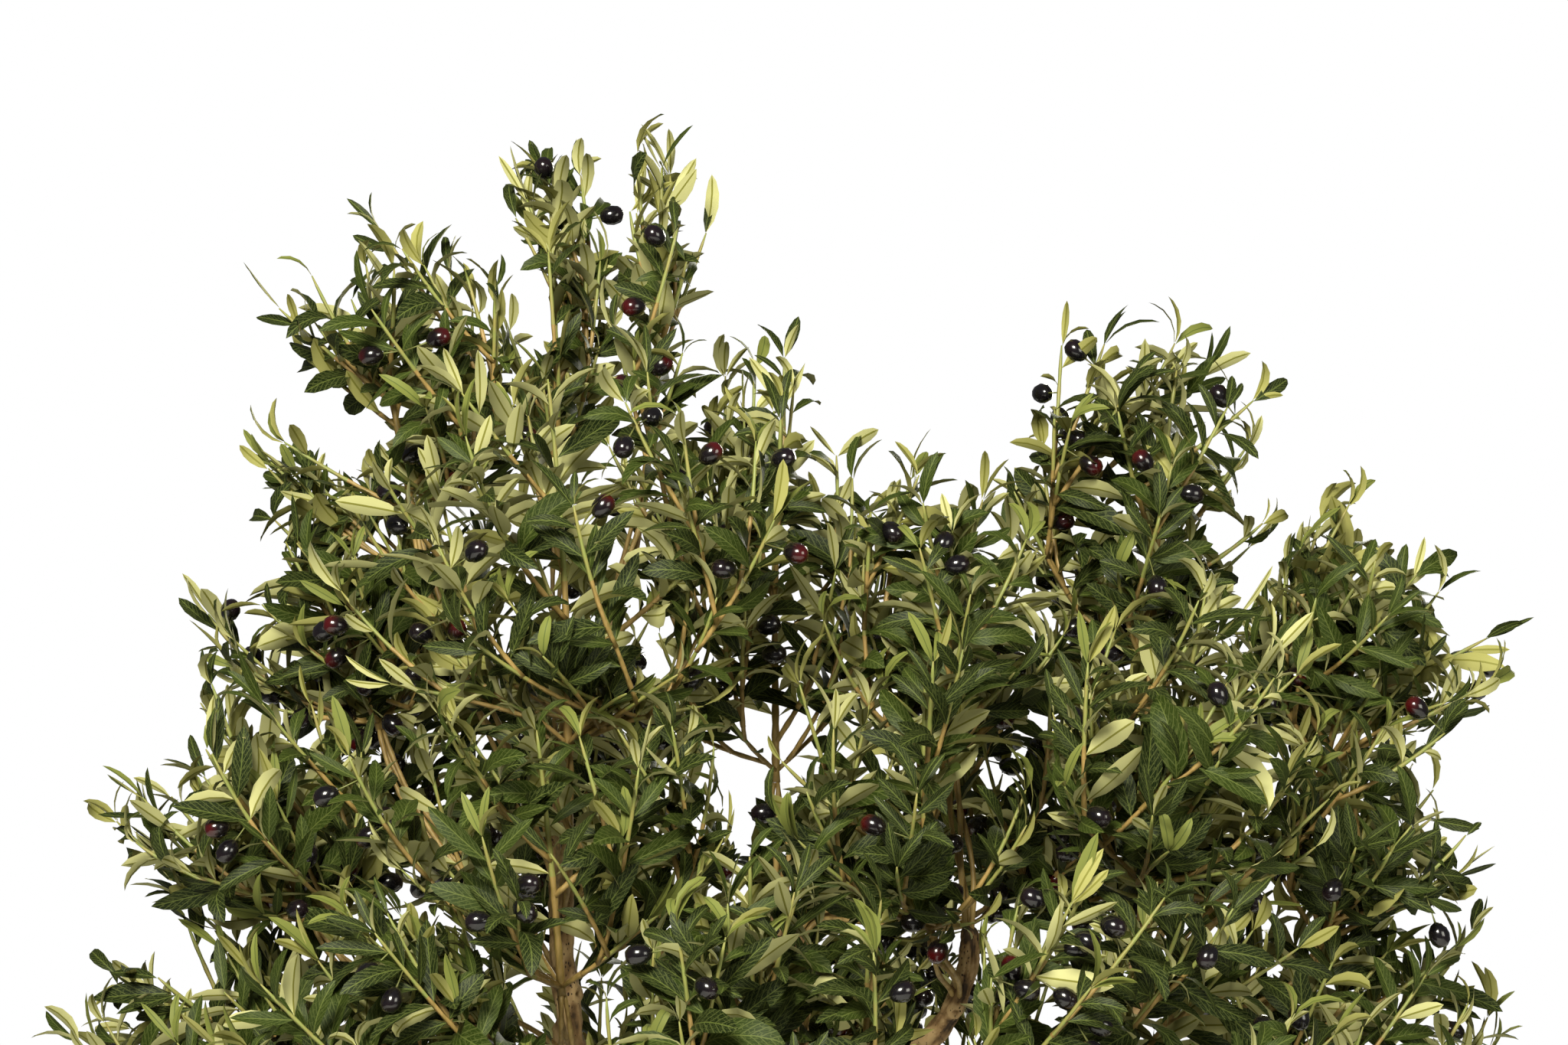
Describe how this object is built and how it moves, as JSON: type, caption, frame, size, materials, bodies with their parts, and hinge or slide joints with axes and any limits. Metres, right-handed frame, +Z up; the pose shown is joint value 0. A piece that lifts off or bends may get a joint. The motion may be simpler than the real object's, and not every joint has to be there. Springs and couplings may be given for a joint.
{
  "type": "artificial olive tree",
  "caption": "Tall artificial olive tree with a wide, bushy crown of slender leaves and dark olives on a barked trunk in a plain round pot.",
  "frame": {"origin": "middle of the pot's flat underside, on the floor", "axes": "+Z up along the tree, -Y towards the side that the picture shows, +X to that view's right"},
  "size_m": [1.4896, 1.0011, 2.2601],
  "materials": {
    "pot": "satin black plastic",
    "filling": "rough, bark-brown top on cement",
    "bark": "rough bark",
    "stem": "smooth tan plastic",
    "foliage": "printed leaf cloth, slight sheen"
  },
  "bodies": {
    "root": {"back_bough": "bark", "back_left": "foliage", "back_left_stem": "stem", "back_low_left": "foliage", "back_low_left_stem": "stem", "back_low_right": "foliage", "back_low_right_stem": "stem", "back_middle": "foliage", "back_middle_stem": "stem", "back_right": "foliage", "back_right_stem": "stem", "centre_bough": "bark", "filling": "filling", "left_bough": "bark", "left_flank": "foliage", "left_flank_stem": "stem", "left_heart": "foliage", "left_heart_stem": "stem", "left_of_peak": "foliage", "left_of_peak_stem": "stem", "left_shoulder": "foliage", "left_shoulder_stem": "stem", "left_skirt": "foliage", "left_skirt_stem": "stem", "left_waist": "foliage", "left_waist_stem": "stem", "low_front": "foliage", "low_front_stem": "stem", "low_right_front": "foliage", "low_right_front_stem": "stem", "lower_left_front": "foliage", "lower_left_front_stem": "stem", "middle_heart": "foliage", "middle_heart_stem": "stem", "middle_top": "foliage", "middle_top_stem": "stem", "outer_right_bough": "bark", "pot": "pot", "right_bough": "bark", "right_flank": "foliage", "right_flank_stem": "stem", "right_heart": "foliage", "right_heart_stem": "stem", "right_of_peak": "foliage", "right_of_peak_stem": "stem", "right_peak": "foliage", "right_peak_stem": "stem", "right_shoulder": "foliage", "right_shoulder_stem": "stem", "right_skirt": "foliage", "right_skirt_stem": "stem", "trunk": "bark", "upper_left": "foliage", "upper_left_stem": "stem", "upper_middle": "foliage", "upper_middle_stem": "stem"}
  },
  "joints": []
}
